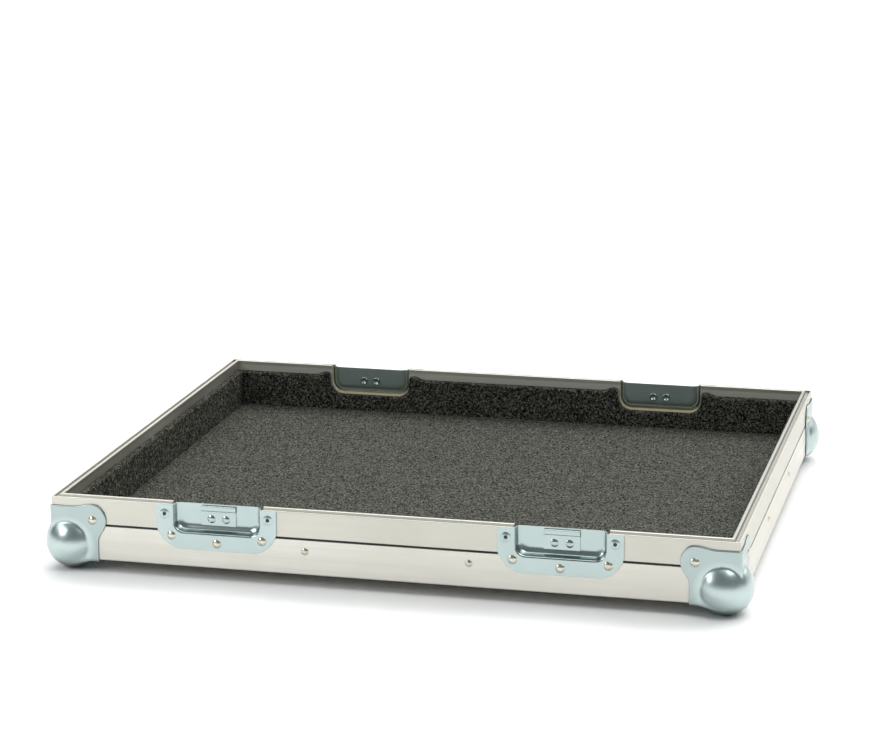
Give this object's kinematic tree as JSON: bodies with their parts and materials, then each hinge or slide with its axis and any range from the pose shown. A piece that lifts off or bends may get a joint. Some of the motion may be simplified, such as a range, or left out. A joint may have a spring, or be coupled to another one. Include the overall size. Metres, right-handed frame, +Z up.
{
  "type": "pedalboard",
  "caption": "Low open tray for effects pedals: aluminium-edged plywood with steel ball corners, recessed catch dishes, padded walls and a carpeted floor.",
  "frame": {"origin": "on the floor under the middle of the tray, level with the lowest points of the ball corners", "axes": "+X along the front to the right, +Y from front to back, +Z up"},
  "size_m": [0.6408, 0.5408, 0.0698],
  "materials": {
    "plywood": "birch plywood, black outer face, raw edges",
    "extrusion": "satin mill finish with faint lengthwise lines",
    "zinc_steel": "bright zinc plate, faintly blue-green",
    "rivet": "satin, slightly warm",
    "wall_lining": "coarse dark grey pile",
    "carpet": "speckled grey hook-and-loop carpet"
  },
  "bodies": {
    "root": {"base_panel": "plywood", "panel_front": "plywood", "panel_back": "plywood", "panel_left": "plywood", "panel_right": "plywood", "lower_angle_front": "extrusion", "lower_angle_back": "extrusion", "lower_angle_left": "extrusion", "lower_angle_right": "extrusion", "rim_front": "extrusion", "rim_back": "extrusion", "rim_left": "extrusion", "rim_right": "extrusion", "ball_corner_front_left": "zinc_steel", "ball_corner_front_right": "zinc_steel", "ball_corner_back_left": "zinc_steel", "ball_corner_back_right": "zinc_steel", "catch_dish_front_left": "zinc_steel", "catch_dish_front_right": "zinc_steel", "catch_dish_back_left": "zinc_steel", "catch_dish_back_right": "zinc_steel", "keeper_plate_front_left": "zinc_steel", "keeper_plate_front_right": "zinc_steel", "keeper_plate_back_left": "zinc_steel", "keeper_plate_back_right": "zinc_steel", "lining_front": "wall_lining", "lining_back": "wall_lining", "lining_left": "wall_lining", "lining_right": "wall_lining", "floor_carpet": "carpet", "corner_rivets": "rivet", "dish_rivets": "rivet", "keeper_rivets": "rivet", "lower_angle_rivets": "rivet"}
  },
  "joints": []
}
